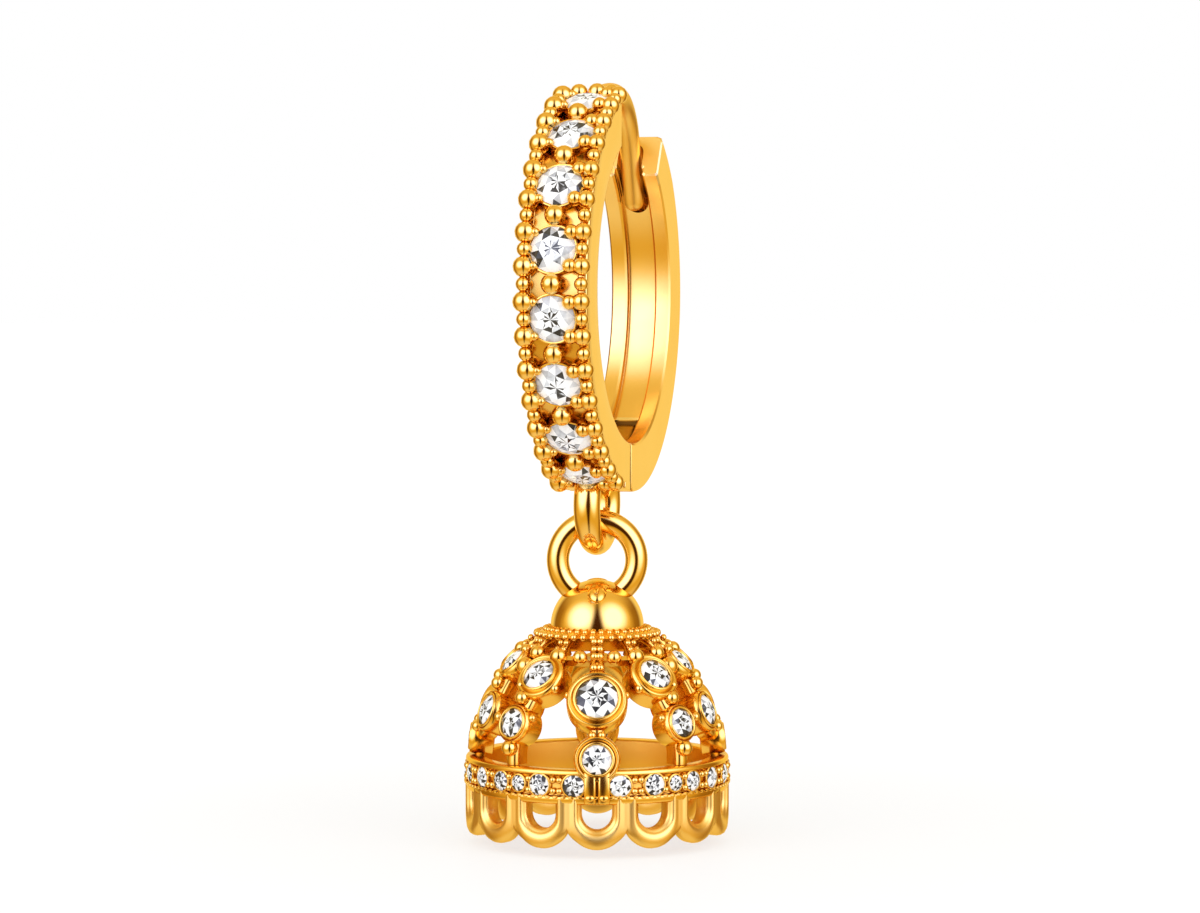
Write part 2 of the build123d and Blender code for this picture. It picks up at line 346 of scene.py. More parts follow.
def newTree(name, inputs):
    tree = bpy.data.node_groups.new(name, "GeometryNodeTree")
    tree.interface.new_socket("Geometry", in_out="INPUT", socket_type="NodeSocketGeometry")
    ids = {}
    for label, kind in inputs.items():
        ids[label] = tree.interface.new_socket(label, in_out="INPUT", socket_type="NodeSocket" + kind).identifier
    tree.interface.new_socket("Geometry", in_out="OUTPUT", socket_type="NodeSocketGeometry")
    source = tree.nodes.new("NodeGroupInput")
    return tree, Wire(tree), {s.name: Wire(tree, s) for s in source.outputs if s.name}, ids


def finished(wire, geometry, finish):  # the end of every tree
    real = wire.add("GeometryNodeRealizeInstances", {}, {"Geometry": geometry})
    done = wire.add("GeometryNodeSetMaterial", {}, {"Geometry": real, "Material": finish})
    wire.add("NodeGroupOutput", {}, {0: done})


def rowTree():  # copies of the mesh itself, turned about an axis through a centre
    tree, wire, given, ids = newTree("rowOfCopies", {
        "Count": "Int", "First Turn": "Float", "Turn Step": "Float",
        "Axis": "Vector", "Centre": "Vector", "Finish": "Material"})
    dots = wire.add("GeometryNodeMeshLine", {}, {"Count": given["Count"], "Offset": (0, 0, 0)})
    turn = wire.add("GeometryNodeInputIndex") * given["Turn Step"] + given["First Turn"]
    spin = wire.add("FunctionNodeAxisAngleToRotation", {}, {"Axis": given["Axis"], "Angle": turn})
    copies = wire.add("GeometryNodeInstanceOnPoints", {},
                      {"Points": dots, "Instance": given["Geometry"], "Rotation": spin})
    moved = wire.add("GeometryNodeTranslateInstances", {},
                     {"Instances": copies, "Translation": given["Centre"], "Local Space": False})
    finished(wire, moved, given["Finish"])
    return tree, ids


def markedTree():  # copies of another object on marked points, each with its own turn and size
    tree, wire, given, ids = newTree("copiesOnMarks", {"Piece": "Object", "Finish": "Material"})
    piece = wire.add("GeometryNodeObjectInfo", {}, {"Object": given["Piece"]}, "Geometry")
    size = wire.add("GeometryNodeInputNamedAttribute", {"data_type": "FLOAT"}, {"Name": "markSize"})
    turn = wire.add("GeometryNodeInputNamedAttribute", {"data_type": "FLOAT_VECTOR"}, {"Name": "markTurn"})
    copies = wire.add("GeometryNodeInstanceOnPoints", {}, {
        "Points": given["Geometry"], "Instance": piece, "Rotation": turn, "Scale": size})
    finished(wire, copies, given["Finish"])
    return tree, ids


trees = {"row": rowTree(), "marked": markedTree()}


def grow(source, kind, values, name):  # runs a tree on an object and leaves one plain mesh
    tree, ids = trees[kind]
    modifier = source.modifiers.new(kind, "NODES")
    modifier.node_group = tree
    for label, value in values.items():
        modifier[ids[label]] = value
    bpy.context.view_layer.update()
    mesh = bpy.data.meshes.new_from_object(source.evaluated_get(bpy.context.evaluated_depsgraph_get()))
    for label in ("markSize", "markTurn"):
        if label in mesh.attributes:
            mesh.attributes.remove(mesh.attributes[label])
    source.modifiers.remove(modifier)
    mesh.name = name
    piece = placed(name, mesh)
    bpy.data.objects.remove(source)
    return piece


def marks(places):  # an object of loose points, from frames and sizes
    mesh = bpy.data.meshes.new("marks")
    mesh.from_pydata([place.translation * 0.001 for place, size in places], [], [])
    sizes = mesh.attributes.new("markSize", "FLOAT", "POINT")
    turns = mesh.attributes.new("markTurn", "FLOAT_VECTOR", "POINT")
    for i, (place, size) in enumerate(places):
        sizes.data[i].value = size
        turns.data[i].vector = place.to_euler("XYZ")
    return placed("marks", mesh)


def scattered(name, places, piece, finish):
    return grow(marks(places), "marked", {"Piece": piece, "Finish": finish}, name)


def rowAround(name, source, finish, count, first, step, axis=(0.0, 0.0, 1.0), centre=(0, bell["y"], 0)):
    values = {"Count": count, "First Turn": first, "Turn Step": step, "Axis": axis,
              "Centre": tuple(v * 0.001 for v in centre), "Finish": finish}
    return grow(source, "row", values, name)


def joined(name, pieces):  # one object, each face keeping its finish
    work = bmesh.new()
    materials = []
    for piece in pieces:
        start = len(work.faces)
        work.from_mesh(piece.data)
        work.faces.ensure_lookup_table()
        for face in work.faces[start:]:
            material = piece.data.materials[face.material_index] if piece.data.materials else None
            if material not in materials:
                materials.append(material)
            face.material_index = materials.index(material)
    mesh = bpy.data.meshes.new(name)
    work.to_mesh(mesh)
    work.free()
    for material in materials:
        mesh.materials.append(material)
    for piece in pieces:
        bpy.data.objects.remove(piece)
    return placed(name, mesh)


def applied(piece):  # bakes a piece's modifiers into its mesh
    bpy.context.view_layer.update()
    mesh = bpy.data.meshes.new_from_object(piece.evaluated_get(bpy.context.evaluated_depsgraph_get()))
    old = piece.data
    piece.modifiers.clear()
    piece.data = mesh
    bpy.data.meshes.remove(old)
    return piece


def edged(piece, width, segments=2, angle=35):  # narrow rounded edges, in millimetres
    bevel = piece.modifiers.new("edges", "BEVEL")
    bevel.width, bevel.segments = width * 0.001, segments
    bevel.limit_method, bevel.angle_limit = "ANGLE", radians(angle)
    bevel.harden_normals = True
    bevel.miter_outer = "MITER_ARC"
    return applied(piece)


def refinish(piece, material, chosen):  # gives the chosen faces another finish
    piece.data.materials.append(material)
    for face in piece.data.polygons:
        if chosen(face):
            face.material_index = len(piece.data.materials) - 1
    return piece


def facesSideways(face):
    return abs(face.normal.x) > 0.9


beadShape = Shape()
ball(beadShape, Matrix.Identity(4), (0.5, 0.5, 0.5), 14, 8)
bead = beadShape.make("beadPiece")  # one millimetre across
bead.hide_render = True


def brilliant():  # a round cut stone of radius one, its girdle at zero, with the star that shows through its table
    points = [(0.56 * cos(pi / 4 * i), 0.56 * sin(pi / 4 * i), 0.25) for i in range(8)]
    points += [(0.8 * cos(pi / 4 * (i + 0.5)), 0.8 * sin(pi / 4 * (i + 0.5)), 0.15) for i in range(8)]
    points += [(cos(pi / 8 * i), sin(pi / 8 * i), 0.015) for i in range(16)]
    points += [(cos(pi / 8 * i), sin(pi / 8 * i), -0.02) for i in range(16)]
    points += [(0.25 * cos(pi / 4 * (i + 0.5)), 0.25 * sin(pi / 4 * (i + 0.5)), -0.66) for i in range(8)]
    points += [(0, 0, -0.862), (0.02, 0.01, 0.252)]
    barbs = ((0.34, -5), (0.34, 5), (0.3, 22.5))
    arrows = [(r, (a + turn) * pi / 180) for a in range(0, 360, 45) for r, turn in barbs]
    points += [(r * cos(a), r * sin(a), 0.2515) for r, a in arrows]
    faces = []
    for i in range(8):
        j, h = (i + 1) % 8, (i - 1) % 8
        g = 16 + 2 * i
        g1, g2 = g + 1, 16 + (2 * i + 2) % 16
        left, right, between, onward = 58 + 3 * i, 59 + 3 * i, 60 + 3 * i, 58 + 3 * j
        faces += [[57, left, right], [left, i, right], [57, right, between], [57, between, onward],
                  [right, i, between], [between, i, j], [between, j, onward]]
        faces += [[i, 8 + i, j], [i, 8 + h, g], [i, g, 8 + i], [8 + i, g, g1], [8 + i, g1, g2]]
        faces += [[g, g + 16, g1 + 16, g1], [g1, g1 + 16, g2 + 16, g2]]
        faces += [[g + 16, 48 + h, 56, 48 + i], [g + 16, 48 + i, g1 + 16], [g1 + 16, 48 + i, g2 + 16]]
    shape = Shape()
    shape.add(points, faces)
    return shape.make("stonePiece", flat=True)


def sparkle(piece, seed):  # painted reflections: a light or dark shade for every facet, as a cut stone gives back its surroundings
    chance = random.Random(seed)
    shades = piece.data.attributes.new("facetShade", "FLOAT", "FACE")
    for face, item in zip(piece.data.polygons, shades.data):
        draw, small = chance.random(), face.area < 0.045e-6
        dark = draw < (0.36 if small else 0.15)
        item.value = chance.uniform(*((0.0, 0.14) if dark else (0.2, 0.42) if draw < 0.46 else (0.5, 1.0)))
    return piece


cutStone = brilliant()
cutStone.hide_render = True
print("stage: repeated pieces made")


front = {"width": 3.0, "topY": -2.7, "seamY": -1.05, "floor": 8.5, "railInner": 1.1, "railTop": 8.7,
         "count": 8, "first": 68.9, "pitch": 19.15, "stone": 1.0, "girdle": 8.84, "twist": (0.4, 0.7),
         "collar": 1.1, "collarTop": 8.86,
         "endTurn": 76.5, "endInner": 8.52, "endOuter": 8.94, "endProud": 0.004, "seamLine": 0.17}


def nextToSeam(face):  # the end face and a thin line on the sides of the front half
    line = hoop["y"] + front["seamY"] - front["seamLine"]
    return (facesSideways(face) or face.normal.y > 0.5) and face.center.y * 1000 > line


def frontShell():
    half, rail, top, floor = front["width"] / 2, front["railInner"], front["railTop"], front["floor"]
    outline = soften([(-half, hoop["inner"], 0.14), (half, hoop["inner"], 0.14), (half, top, 0.1),
                      (rail, top, 0.05), (rail - 0.04, floor, 0.05), (0.04 - rail, floor, 0.05),
                      (-rail, top, 0.05), (-half, top, 0.1)], 3)
    shape, steps = Shape(), 110
    rows = []
    for i in range(steps + 1):
        t = i / steps
        row = []
        for x, r in outline:
            top, low = acos(-front["topY"] / r), -acos(-front["seamY"] / r)
            row.append(onHoop(x, r, top + (low - top) * t))
        rows.append(row)
    shape.grid(rows, caps=True)
    piece = refinish(edged(shape.make("hoopFrontWall", wall), 0.07, 2, 50), side, facesSideways)
    return refinish(piece, shade, nextToSeam)


def frontEnd():  # plain plate over the wall from the last stone to the seam
    # a hair over the wall, so that no two faces share a plane
    half, near = front["width"] / 2 + front["endProud"], -radians(front["endTurn"])
    inner, outer = front["endInner"], front["endOuter"]
    outline = soften([(-half, inner, 0), (half, inner, 0), (half, outer, 0.1), (-half, outer, 0.1)], 3)
    rows = []
    for i in range(13):
        rows.append([onHoop(x, r, near + (-acos(-front["seamY"] / r) - near) * i / 12) for x, r in outline])
    shape = Shape()
    shape.grid(rows, caps=True)
    piece = refinish(edged(shape.make("hoopFrontEnd", wall), 0.05, 2, 50), side, facesSideways)
    return refinish(piece, shade, nextToSeam)


def frontCell():  # collar of one stone, at turn zero about the origin
    shape = Shape()
    place = Matrix.Translation((0, -front["collarTop"], 0)) @ Matrix.Rotation(pi / 2, 4, "X")
    s, c = front["stone"], front["collar"]
    profile = [(s - 0.12, -0.75, 0), (c, -0.75, 0), (c, 0, 0.05), (s - 0.01, 0.0, 0.05), (s - 0.05, -0.16, 0)]
    turned(shape, place, soften(profile, 2), 40)
    return shape.make("frontCell", cast)


first, pitch = radians(front["first"]), radians(front["pitch"])
cells = rowAround("hoopCollars", frontCell(), cast, front["count"], first, -pitch,
                  (-1.0, 0.0, 0.0), (0, hoop["y"], hoop["z"]))

frontBeads = {
    # side: row across the width, height of the centres, then sizes of the large and small beads and of the prongs
    -1: {"x": 1.24, "radius": 8.92, "large": 0.94, "small": 0.66, "prongX": 0.8, "prong": 0.4},
    1: {"x": 1.3, "radius": 8.92, "large": 0.8, "small": 0.62, "prongX": 0.8, "prong": 0.66},
}
frontExtras = {"prongAt": 0.245, "prongRadius": 8.98, "between": (8.93, 0.94), "last": (8.85, 0.8),
               "topTurn": 77.0, "topRadius": 8.95, "top": ((-0.62, 0.8), (0.2, 0.84), (0.86, 0.7))}
beadPlaces = []
for n in range(front["count"]):
    stoneTurn = front["first"] - front["pitch"] * n
    for way, row in frontBeads.items():
        for part, size in ((-0.25, row["large"]), (0.25, row["large"]), (0.0, row["small"]), (0.5, row["small"])):
            if n == front["count"] - 1 and part > 0.3:
                continue
            beadPlaces.append((hoopFrame(way * row["x"], stoneTurn - part * front["pitch"], row["radius"]), size))
        for part in (-frontExtras["prongAt"], frontExtras["prongAt"]):
            place = hoopFrame(way * row["prongX"], stoneTurn - part * front["pitch"], frontExtras["prongRadius"])
            beadPlaces.append((place, row["prong"]))
    radius, size = frontExtras["between"] if n < front["count"] - 1 else frontExtras["last"]
    beadPlaces.append((hoopFrame(0, stoneTurn - front["pitch"] / 2, radius), size))
for x, size in frontExtras["top"]:  # row across the top end
    beadPlaces.append((hoopFrame(x, frontExtras["topTurn"], frontExtras["topRadius"]), size))
hoopBeads = scattered("hoopBeads", beadPlaces, bead, polished)

stonePlaces = []
for n in range(front["count"]):
    twist = Matrix.Rotation(front["twist"][0] + front["twist"][1] * n, 4, "Z")
    seat = hoopFrame(0, front["first"] - front["pitch"] * n, front["girdle"])
    stonePlaces.append((seat @ twist, front["stone"]))
hoopStones = scattered("hoopStones", stonePlaces, cutStone, stoneFacetPaint)
sparkle(hoopStones, 4)

# Tongue of the hinge, link and post, all of one piece with the front half
post = {"radius": 0.47, "start": (-5.1, -0.95), "bend": (2.5, -2.2), "tip": (3.25, -4.75), "slope": 2.0}
link = {"radius": 1.8, "wire": 0.48, "across": 0.6, "wearAndShade": 0.06, "y": -3.45, "z": -18.35,
        "solderZ": -17.0, "solder": (0.75, 0.9, 0.5)}
tongue = {"half": 0.7, "inner": 7.05, "outer": 8.93, "start": 78, "end": 1.3}


def frontWires():
    shape = Shape()
    slope = (cos(radians(post["slope"])), -sin(radians(post["slope"])))
    path = arc((0, 0), (-slope[0], -slope[1]), post["start"], 16)[::-1] + arc((0, 0), slope, post["bend"], 12)[1:]
    by, bz = post["bend"]
    ty, tz = post["tip"]
    path += [(by + (ty - by) * i / 8, bz + (tz - bz) * i / 8) for i in range(1, 9)]
    for _ in range(14):  # eases the bend
        eased = [tuple((a[k] + 2 * b[k] + c[k]) / 4 for k in (0, 1)) for a, b, c in zip(path, path[1:], path[2:])]
        path = [path[0]] + eased + [path[-1]]
    tube(shape, path, post["radius"], 24)
    rows = []
    for along, up in circle(56):
        across = link["across"] - link["wearAndShade"] * max(0.0, -up) ** 2  # narrower where the ring rides on it
        rows.append([(across * c, link["y"] + (link["radius"] + link["wire"] * s) * along,
                      link["z"] + (link["radius"] + link["wire"] * s) * up) for c, s in circle(20)])
    shape.grid(rows, wrapRows=True)
    # solder where the link meets the hoop
    ball(shape, Matrix.Translation((0, link["y"], link["solderZ"])), link["solder"])
    return refinish(shape.make("hoopWires", polished), loopMetal, lambda face: face.center.z * 1000 > hoop["z"])


def frontTongue():
    shape = Shape()
    half, inner, outer = tongue["half"], tongue["inner"], tongue["outer"]
    outline = soften([(-half, inner, 0.1), (half, inner, 0.1), (half, outer, 0.08), (-half, outer, 0.08)], 3)
    rows = []
    for i in range(25):
        row = []
        for x, r in outline:
            low, end = -radians(tongue["start"]), -(pi - acos(tongue["end"] / r))
            row.append(onHoop(x, r, low + (end - low) * i / 24))
        rows.append(row)
    shape.grid(rows, caps=True)
    return edged(shape.make("hoopTongue", wall), 0.06)


hoopFront = joined("hoopFrontMetal", [frontShell(), frontEnd(), frontTongue(), frontWires(), cells, hoopBeads])
print("stage: front half")


back = {"width": 2.8, "topAngle": 58.45, "topShift": 0.882, "seamY": -0.93, "channel": 0.66, "depth": 0.45,
        "chamfer": 0.07, "seamChamfer": 0.11, "span": 146.0, "flare": 0.09, "flareFrom": 0.5,
        "pinY": -0.35, "pinZ": -8.35, "swing": 0.69,
        "corner": 0.1, "topCorner": 0.3, "topRun": 0.12, "flank": 0.31,
        "slotWidth": 1.18, "slotLow": 3.62, "slotFloor": 7.98, "slotMouth": 2.0,
        "hingeSlot": 0.78, "hingeEnd": 2.3, "endFrom": 4.9, "edgeFrom": 1.32,
        "pocketHalf": 0.64, "pocketStart": 1.5, "pocketEnd": 4.2, "pocketFloor": -7.45}
knuckle = {"left": -0.58, "right": 0.44, "inner": 7.34, "outer": 8.2,
           "turns": ((102.0, 0.1), (103.0, 0.03), (105.0, 0), (110.0, 0),
                     (116.0, 0), (122.0, 0), (123.6, 0.03), (124.3, 0.1))}
lip = {"half": 0.66, "inner": 7.235, "outer": 7.3, "turns": (125.1, 126.7)}  # the edge of the pocket, in a paler gold as a painted highlight


def backOutline(inset, corner):  # the section across the half; an inset one ends a chamfer
    half, out, inn = back["width"] / 2 - inset, hoop["outer"] - inset, hoop["inner"] + inset
    c, floor = back["channel"] + inset, hoop["inner"] + back["depth"] + inset
    flank, cut = out - back["flank"], corner * 0.29
    return soften([(-half, inn, 0.08), (-c, inn, 0.09), (-c, floor, 0.04), (c, floor, 0.04), (c, inn, 0.09),
                   (half, inn, 0.08), (half, flank, 0), (half, out - corner, 0), (half - cut, out - cut, 0),
                   (half - corner, out, 0), (corner - half, out, 0), (cut - half, out - cut, 0),
                   (-half, out - corner, 0), (-half, flank, 0)], 1)


def backShell():
    shape, rows = Shape(), []
    start, end = (back[key] / (hoop["outer"] * radians(back["span"])) for key in ("chamfer", "seamChamfer"))
    along = [(0.0, back["chamfer"])] + [(start + (1 - start - end) * i / 90, 0.0) for i in range(91)]
    for t, inset in along + [(1.0, back["seamChamfer"])]:
        corner = back["corner"] + (back["topCorner"] - back["corner"]) * max(0.0, 1 - t / back["topRun"])
        wider = 1 + back["flare"] / back["width"] * 2 * max(0.0, (t - back["flareFrom"]) / back["flareFrom"]) ** 2
        row = []
        for x, r in backOutline(inset, corner):
            top = pi - radians(back["topAngle"]) + asin(back["topShift"] / r)  # the end face is flat and leans
            clear = back["swing"] ** 2 - max(0.0, r + back["pinZ"]) ** 2
            seamY = max(back["seamY"], back["pinY"] - clear ** 0.5)
            low = 2 * pi - acos(-seamY / r)
            row.append(onHoop(x * wider, r, top + (low - top) * t))
        rows.append(row)
    shape.grid(rows, caps=True)
    return shape.make("hoopBackMetal", wall)


def cutBy(piece, rows, name):  # takes a closed shape of rows away from a piece
    shape = Shape()
    shape.grid(rows, caps=True)
    cutter = shape.make(name)
    tool = piece.modifiers.new("cut", "BOOLEAN")
    tool.operation, tool.solver, tool.object = "DIFFERENCE", "EXACT", cutter
    applied(piece)
    bpy.data.objects.remove(cutter)


def slotRows():  # the post's slot, with a round end below and a round floor
    w, mouth = back["slotWidth"] / 2, back["slotMouth"]
    low = hoop["z"] + back["slotLow"] + w
    levels = [(low + w * sin(radians(a)), w * cos(radians(a))) for a in (-86, -75, -60, -45, -30, -15, 0)]
    levels += [(low + 0.35 * k, w) for k in range(1, 14)]
    rows = []
    for z, half in levels:
        row = [(half, hoop["y"] + mouth, z)]
        for a in range(0, 181, 15):
            reach = (back["slotFloor"] + w * sin(radians(a))) ** 2 - (z - hoop["z"]) ** 2
            row.append((half * cos(radians(a)), hoop["y"] + max(reach, mouth ** 2 + 0.1) ** 0.5, z))
        rows.append(row + [(-half, hoop["y"] + mouth, z)])
    return rows


def boxRows(half, start, end, low, high):  # measured from the hoop's centre
    corners = ((-half, start), (half, start), (half, end), (-half, end))
    return [[(x, hoop["y"] + y, hoop["z"] + z) for x, y in corners] for z in (low, high)]


def bent(name, rows, finish):  # a small piece that follows the hoop
    shape = Shape()
    shape.grid(rows, caps=True)
    return shape.make(name, finish)


backMetal = backShell()
cutBy(backMetal, slotRows(), "slotCutter")
cutBy(backMetal, boxRows(back["hingeSlot"], -2, back["hingeEnd"], -10, -5), "hingeCutter")
pocket = (back["pocketHalf"], back["pocketStart"], back["pocketEnd"], back["pocketFloor"])
cutBy(backMetal, boxRows(*pocket, -5), "pocketCutter")
left, right, inner, outer = (knuckle[key] for key in ("left", "right", "inner", "outer"))
outline = soften([(left, outer, 0.05), (right, outer, 0.05), (right, inner, 0.16), (left, inner, 0.16)], 3)
# painted shade: the knuckle's darker gold stands in for the pocket's shadow
hingeKnuckle = bent("hingeKnuckle", [[onHoop(x, r + sunk, -radians(turn)) for x, r in outline]
                                     for turn, sunk in knuckle["turns"]], shadedHingeMetal)
half, outer, inner = lip["half"], lip["outer"], lip["inner"]
corners = ((-half, outer), (half, outer), (half, inner), (-half, inner))
pocketLip = bent("pocketLip", [[onHoop(x, r, -radians(turn)) for x, r in corners] for turn in lip["turns"]], edge)
backMetal.data.set_sharp_from_angle(angle=radians(20))
refinish(backMetal, side, facesSideways)


def fromCentre(face):  # the middle of a face, from the hoop's centre
    return face.center.x * 1000, face.center.y * 1000 - hoop["y"], face.center.z * 1000 - hoop["z"]


def inPocket(face):
    x, y, z = fromCentre(face)
    inside = back["pocketStart"] < y < back["pocketEnd"] + 0.01
    return abs(x) < back["pocketHalf"] + 0.01 and inside and z > back["pocketFloor"] - 0.01


def atSeam(face):
    return face.normal.y < -0.6 and abs(fromCentre(face)[1] - back["seamY"]) < 0.1


def atTop(face):  # the face that the post comes down to, and its chamfer
    return fromCentre(face)[2] > back["endFrom"] and face.normal.y < -0.3 and face.normal.z > 0.3


def topEdge(face):  # the chamfer beside that face, in a paler gold as a painted highlight
    x, y, z = fromCentre(face)
    return z > back["endFrom"] and x > back["edgeFrom"] and 0.3 < face.normal.x < 0.97 and face.normal.y < -0.2


refinish(refinish(backMetal, shade, inPocket), loopMetal, atSeam)
# painted highlight: the chamfer beside the top face gets the paler gold
refinish(refinish(backMetal, loopMetal, atTop), edge, topEdge)
hoopBack = joined("hoopBackMetal", [backMetal, hingeKnuckle, pocketLip])
print("stage: back half")


crown = {"ringRadius": 1.75, "ringWire": 0.5, "ringZ": -20.84, "cap": 2.08, "capZ": -23.8,
         "foot": 2.2, "footTop": 0.14, "footDepth": 0.45,
         # solder: the pool's height over the cap's centre, then each run's lean and its three half sizes
         "poolRise": 1.64, "pool": (0.82, 0.62, 0.46), "runReach": 2.02,
         "runs": ((24, (0.56, 0.5, 0.2)), (40, (0.42, 0.56, 0.24)))}


def crownShape():
    shape = Shape()
    rows = []
    for along, up in circle(64):
        row = []
        for c, s in circle(20):
            reach = crown["ringRadius"] + crown["ringWire"] * c
            row.append(axisFrame @ Vector((reach * along, crown["ringWire"] * s, crown["ringZ"] + reach * up)))
        rows.append(row)
    shape.grid(rows, wrapRows=True)
    # cap: a half ball with a rolled lower edge
    cap, turns = crown["cap"], [radians(a) for a in range(0, 90, 5)]
    rise = [(cap * cos(a), crown["capZ"] + cap * sin(a)) for a in turns]
    foot = crown["capZ"] - crown["footDepth"]
    top = crown["capZ"] - crown["footTop"]
    profile = [(0.02, foot), (crown["foot"], foot), (crown["foot"], top), (crown["cap"] - 0.02, top)] + rise
    profile.append((0.02, crown["capZ"] + crown["cap"]))
    turned(shape, axisFrame, profile, 64)
    return shape.make("bellCrown", polished, 50)


def solderShape():  # the solder that holds the ring: a pool on the cap that runs down in front and behind
    shape = Shape()
    ball(shape, axisFrame @ Matrix.Translation((0, 0, crown["capZ"] + crown["poolRise"])), crown["pool"], 28, 16)
    for turn in (0, pi):
        capFrame = Matrix.Rotation(turn, 4, "Z") @ Matrix.Translation((0, 0, crown["capZ"]))
        for lean, sizes in crown["runs"]:
            down = capFrame @ Matrix.Rotation(radians(lean), 4, "X")
            ball(shape, axisFrame @ down @ Matrix.Translation((0, 0, crown["runReach"])), sizes, 28, 16)
    solder = shape.make("ringSolder", cast)
    blend = solder.modifiers.new("blend", "REMESH")
    blend.mode, blend.voxel_size, blend.use_smooth_shade = "VOXEL", 0.00005, True
    ease = solder.modifiers.new("ease", "SMOOTH")
    ease.factor, ease.iterations = 0.5, 8
    return applied(solder)


dome = {
    "ribWidth": 0.66, "ribDepth": 0.85, "barWidth": 0.5, "barDepth": 0.7, "barLift": -0.08,
    # stone: azimuth, rise, radius, outer radius of its bezel, height of the rim, lift of the whole setting
    "stones": [(0, 29.1, 0.91, 1.34, 0.3, 0), (0, 3.5, 0.64, 1.02, 0.3, 0.2),
               (36, 39.5, 0.72, 1.14, 0.28, 0), (43, 16.9, 0.62, 0.88, 0.26, 0),
               (72, 44.8, 0.62, 0.9, 0.24, 0), (67, 20.5, 0.68, 0.94, 0.24, 0), (90, 6.5, 0.5, 0.76, 0.24, 0),
               (108, 44.8, 0.62, 0.9, 0.24, 0), (113, 20.5, 0.68, 0.94, 0.24, 0),
               (144, 39.5, 0.72, 1.14, 0.28, 0), (137, 16.9, 0.62, 0.88, 0.26, 0),
               (180, 29.1, 0.91, 1.34, 0.3, 0), (180, 3.5, 0.64, 1.02, 0.3, 0.2)],
    # ribs and bars: azimuth and rise of each point
    "ribs": [[(0, 55), (0, 42), (0, 27.6), (0, 15), (0, 3.5), (0, -1)],
             [(33, 55), (34.5, 47), (36, 39.5), (39, 28), (43, 16.9), (44, 8), (44, -1)],
             [(70, 55), (72, 44.8), (70, 32), (67, 20.5), (74, 13), (84, 9), (90, 6.5), (90, -1)]],
    "bars": [[(43, 16.9), (56, 19.5), (67, 20.5)], [(36, 39.5), (54, 43.5), (72, 44.8)],
             [(72, 44.8), (90, 45.5), (108, 44.8)]],
    # the two rings that close the top: lower and upper rise, lift and depth
    "rings": ((49.2, 51.8, 0.02, 0.35), (60.0, 65.5, 0.3, 0.3)),
    # the spokes between them: rise and lift of each point
    "spokeCount": 12, "spoke": ((64, 0.28), (58, 0.22), (50, 0.02)), "spokeWidth": 0.36, "spokeDepth": 0.4,
}


def smoothPath(points, steps=7):
    out = []
    padded = [points[0]] + points + [points[-1]]
    for i in range(1, len(padded) - 2):
        a, b, c, d = (Vector(p) for p in padded[i - 1:i + 3])
        for s in range(steps):
            t = s / steps
            bend, twist = 2 * a - 5 * b + 4 * c - d, 3 * b - a - 3 * c + d
            out.append(0.5 * (2 * b + (c - a) * t + bend * t * t + twist * t ** 3))
    return out + [Vector(points[-1])]


def rib(shape, path, width, depth, lift=0.0):  # path points are azimuth, rise and perhaps a lift of their own
    places = [domeFrame(p[0], p[1], lift + sum(p[2:])) for p in smoothPath(path)]
    half = width / 2
    top = half * 0.98
    outline = soften([(-half, -depth, 0.1), (half, -depth, 0.1), (top, -0.02, 0.26), (-top, -0.02, 0.26)], 3)
    rows = []
    for i, place in enumerate(places):
        along = places[min(i + 1, len(places) - 1)].translation - places[max(i - 1, 0)].translation
        up = place.to_3x3() @ Vector((0, 0, 1))
        across = along.cross(up).normalized()
        rows.append([place.translation + across * x + up * y for x, y in outline])
    shape.grid(rows, caps=True)


def bezel(shape, azimuth, rise, radius, outer, rim, lift):
    place = domeFrame(azimuth, rise, lift)
    thin = min(0.13, (outer - radius) * 0.42)
    ledge = outer - radius - thin
    base = [(radius - 0.14, -0.9, 0.03), (outer - 0.03, -0.9, 0.08), (outer, 0.0, 0.1), (outer - 0.05, 0.13, 0.1),
            (outer - ledge * 0.5, 0.18, 0.12)]
    wallOf = [(radius + thin + 0.02, 0.08, 0.05), (radius + thin, rim, 0.06), (radius + 0.02, rim, 0.04),
              (radius - 0.03, 0.0, 0.02)]
    turned(shape, place, soften(base + wallOf, 2), 40)


def mirrored(rows, about=0):
    return [[(about - a, b) for a, b in row] for row in rows]


def quarters(azimuth):  # the same place in each quarter of the bell
    return {azimuth, -azimuth, 180 - azimuth, azimuth - 180}


def leftAndRight(azimuth):
    return (azimuth,) if azimuth % 180 == 0 else (azimuth, -azimuth)


def domeShape():
    shape = Shape()
    ribs = dome["ribs"] + mirrored(dome["ribs"], 180)
    for row in ribs + mirrored(row for row in ribs if row[1][0] % 180):
        rib(shape, row, dome["ribWidth"], dome["ribDepth"])
    bars = dome["bars"] + mirrored((row for row in dome["bars"] if row[1][0] != 90), 180)
    for row in bars + mirrored(bars):
        rib(shape, row, dome["barWidth"], dome["barDepth"], dome["barLift"])
    for azimuth, *sizes in dome["stones"]:
        for a in leftAndRight(azimuth):
            bezel(shape, a, *sizes)
    for low, high, lift, depth in dome["rings"]:
        share = (high - low) / 4
        around = [(low + share * i, lift) for i in range(5)] + [(high - share * i, -depth) for i in range(5)]
        spots = [domeFrame(0, *spot).translation for spot in around]
        turned(shape, axisFrame, [(hypot(spot.x, spot.y - bell["y"]), spot.z) for spot in spots], 96)
    for n in range(dome["spokeCount"]):
        azimuth = 360 // dome["spokeCount"] * n
        rib(shape, [(azimuth, *spot) for spot in dome["spoke"]], dome["spokeWidth"], dome["spokeDepth"])
    return shape.make("bellDome", cast, 40)


